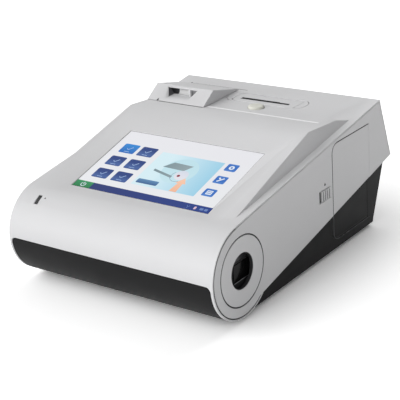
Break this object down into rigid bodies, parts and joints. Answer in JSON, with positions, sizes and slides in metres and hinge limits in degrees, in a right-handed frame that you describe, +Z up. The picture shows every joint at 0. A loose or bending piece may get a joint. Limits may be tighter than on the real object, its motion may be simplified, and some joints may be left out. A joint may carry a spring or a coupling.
{
  "type": "blood gas analyzer",
  "caption": "Portable bench blood gas analyzer: round-nosed white and black case, sloped touch screen, top sample port, printer, side door with reagent pack, barcode reader",
  "frame": {"origin": "On the table under the middle of the case, level with the bottoms of the feet", "axes": "+Z up, +Y from the round nose to the rear wall, +X to the operator's right when facing the screen"},
  "size_m": [0.238, 0.317, 0.1422],
  "materials": {
    "white_shell": "fine-grained satin moulded shell",
    "black_base": "fine-grained black moulded shell",
    "gloss_black": "polished smoked window plastic",
    "dark_plastic": "matte dark grey moulded plastic",
    "cream_plastic": "smooth warm white moulded plastic",
    "rubber": "matte black rubber",
    "steel": "plated sheet and turned steel",
    "aluminium": "plain bent aluminium sheet and milled block",
    "circuit_board": "green solder mask",
    "blue_plastic": "blue shrink-wrapped or labelled pack",
    "thermal_paper": "smooth white paper",
    "display_glass": "polished cover glass over the display"
  },
  "bodies": {
    "case": {"base_tray": "black_base", "battery_cover": "black_base", "battery_pack": "blue_plastic", "button_guide": "dark_plastic", "calibrant_pack": "blue_plastic", "case_screw_1": "steel", "case_screw_2": "steel", "case_screw_3": "steel", "case_screw_4": "steel", "chassis": "aluminium", "contact_block": "dark_plastic", "display_frame": "steel", "display_module": "dark_plastic", "fluid_connector": "cream_plastic", "foot_front_left": "rubber", "foot_front_right": "rubber", "foot_rear_left": "rubber", "foot_rear_right": "rubber", "heater_block": "aluminium", "hub_cap_left": "white_shell", "hub_ring_right": "white_shell", "indicator_lens": "gloss_black", "latch_housing": "dark_plastic", "latch_spring": "steel", "main_board": "circuit_board", "measuring_bracket": "steel", "network_socket": "steel", "pack_bay": "white_shell", "port_guide": "cream_plastic", "port_housing": "white_shell", "power_board": "circuit_board", "power_inlet": "dark_plastic", "power_switch_case": "dark_plastic", "print_head": "dark_plastic", "printer_frame": "white_shell", "processor_shield": "steel", "pump_head": "cream_plastic", "pump_motor": "steel", "scanner_module": "dark_plastic", "scanner_shroud": "dark_plastic", "scanner_window": "gloss_black", "side_panel_left": "white_shell", "side_panel_right": "white_shell", "speaker": "dark_plastic", "top_cover": "white_shell", "touch_glass": "display_glass", "usb_socket": "steel"},
    "door": {"door_panel": "black_base", "door_skin": "white_shell"},
    "latch": {"latch_slider": "white_shell"},
    "release_key": {"release_button": "cream_plastic"},
    "paper_lid": {"printer_lid": "white_shell", "tear_bar": "steel"},
    "platen": {"platen_roller": "rubber", "platen_shaft": "steel"},
    "paper": {"paper_roll": "thermal_paper"},
    "rocker": {"power_switch": "gloss_black"},
    "rotor": {"pump_rotor": "dark_plastic"}
  },
  "joints": [
    {"name": "door_hinge", "type": "hinge", "parent": "case", "child": "door", "pos_m": [0.119, 0.1127, 0.064], "axis": [0, 0, 1], "range_deg": [0, 110]},
    {"name": "latch_slide", "type": "slide", "parent": "case", "child": "latch", "axis": [0, -1, 0], "range_m": [0, 0.0042], "stiffness_N_per_m": 300, "deforming": ["latch_spring"]},
    {"name": "release_press", "type": "slide", "parent": "case", "child": "release_key", "axis": [0, 0.0289, -0.9996], "range_m": [0, 0.0015], "stiffness_N_per_m": 400},
    {"name": "paper_lid_hinge", "type": "hinge", "parent": "case", "child": "paper_lid", "pos_m": [0.0138, 0.10255, 0.12771], "axis": [-1, 0, 0], "range_deg": [0, 95]},
    {"name": "platen_spin", "type": "hinge", "parent": "paper_lid", "child": "platen", "pos_m": [0.0132, 0.09572, 0.12171], "axis": [1, 0, 0], "continuous": true},
    {"name": "paper_spin", "type": "hinge", "parent": "case", "child": "paper", "pos_m": [0.0132, 0.09475, 0.10188], "axis": [1, 0, 0], "continuous": true},
    {"name": "power_rocker", "type": "hinge", "parent": "case", "child": "rocker", "pos_m": [-0.05, 0.13176, 0.03686], "axis": [-1, 0, 0], "range_deg": [0, 14]},
    {"name": "pump_spin", "type": "hinge", "parent": "case", "child": "rotor", "pos_m": [-0.062, 0.0511, 0.0599], "axis": [0, 0, 1], "continuous": true}
  ]
}
